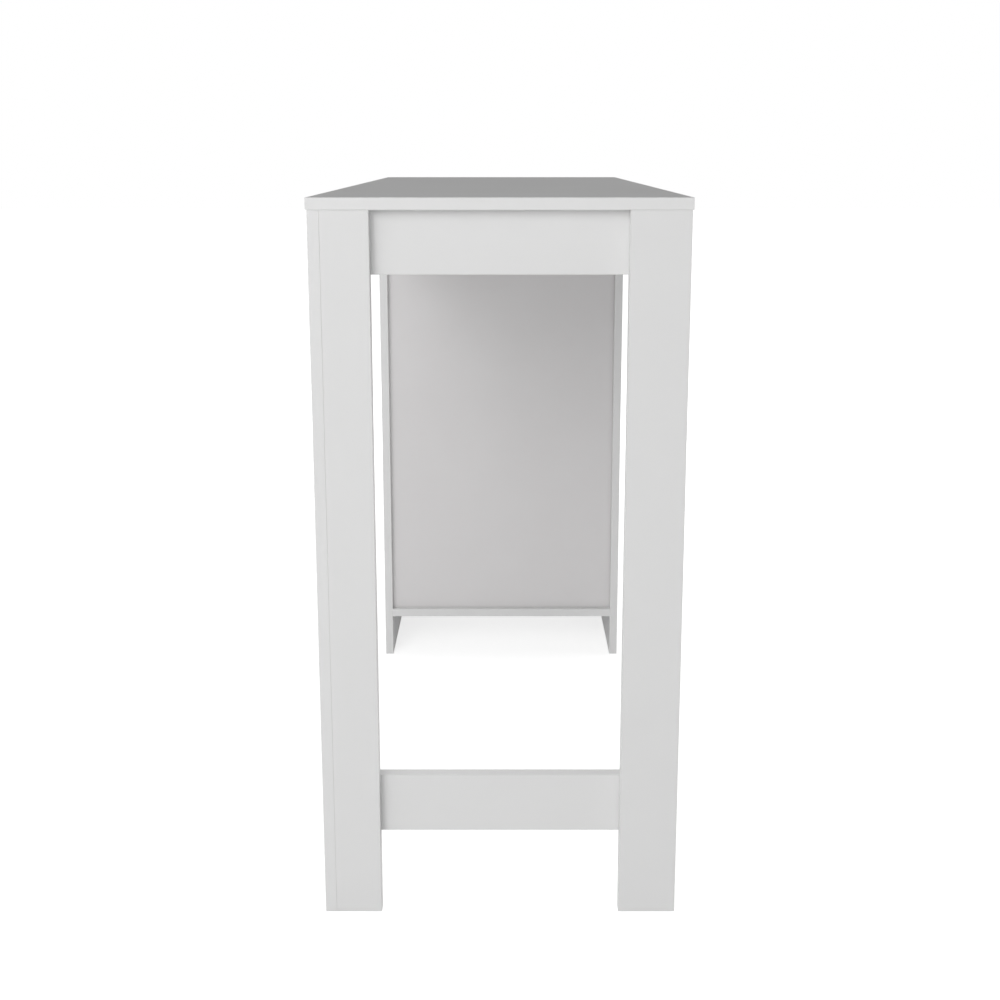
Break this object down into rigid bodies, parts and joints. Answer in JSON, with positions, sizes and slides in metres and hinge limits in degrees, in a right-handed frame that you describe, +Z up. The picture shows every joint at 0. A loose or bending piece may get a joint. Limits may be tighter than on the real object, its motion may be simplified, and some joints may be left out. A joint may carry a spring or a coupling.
{
  "type": "console table",
  "caption": "Bar-height console table on two L-shaped board legs and an open shelf cabinet at one end.",
  "frame": {"origin": "centre of the table's outline, on the floor", "axes": "+X along the table from the two legs to the cabinet, +Y across it to the rear long side, +Z up"},
  "size_m": [1.15, 0.5, 1.01],
  "materials": {
    "melamine_board": "particleboard with white melamine faces, satin, very fine grain",
    "edge_band": "white plastic edge banding, satin, rounded corners",
    "back_panel": "hardboard lacquered white, satin, slightly warm",
    "cam_bolt": "zinc-plated steel",
    "cam_disc": "die-cast zinc alloy, dull",
    "cam_cap": "white moulded plastic",
    "dowel": "plain beech"
  },
  "bodies": {
    "root": {"cabinet_back_panel": "back_panel", "cabinet_bottom_shelf": "melamine_board", "cabinet_bottom_shelf_edge_band": "edge_band", "cabinet_cam_bolts": "cam_bolt", "cabinet_cam_caps": "cam_cap", "cabinet_cam_discs": "cam_disc", "cabinet_dowels": "dowel", "cabinet_front_panel": "melamine_board", "cabinet_front_panel_edge_band": "edge_band", "cabinet_inner_rail": "melamine_board", "cabinet_inner_rail_edge_band": "edge_band", "cabinet_lower_shelf": "melamine_board", "cabinet_lower_shelf_edge_band": "edge_band", "cabinet_plinth": "melamine_board", "cabinet_rear_panel": "melamine_board", "cabinet_rear_panel_edge_band": "edge_band", "cabinet_upper_shelf": "melamine_board", "cabinet_upper_shelf_edge_band": "edge_band", "end_apron": "melamine_board", "end_apron_edge_band": "edge_band", "end_stretcher": "melamine_board", "end_stretcher_edge_band": "edge_band", "front_leg_end_board": "melamine_board", "front_leg_end_board_edge_band": "edge_band", "front_leg_side_board": "melamine_board", "front_leg_side_board_edge_band": "edge_band", "front_rail": "melamine_board", "front_rail_edge_band": "edge_band", "leg_cam_bolts": "cam_bolt", "leg_cam_discs": "cam_disc", "leg_dowels": "dowel", "rail_cam_bolts": "cam_bolt", "rail_cam_discs": "cam_disc", "rail_dowels": "dowel", "rear_leg_end_board": "melamine_board", "rear_leg_end_board_edge_band": "edge_band", "rear_leg_side_board": "melamine_board", "rear_leg_side_board_edge_band": "edge_band", "rear_rail": "melamine_board", "rear_rail_edge_band": "edge_band", "tabletop": "melamine_board", "tabletop_cam_bolts": "cam_bolt", "tabletop_cam_caps": "cam_cap", "tabletop_cam_discs": "cam_disc", "tabletop_dowels": "dowel", "tabletop_edge_band": "edge_band"}
  },
  "joints": []
}
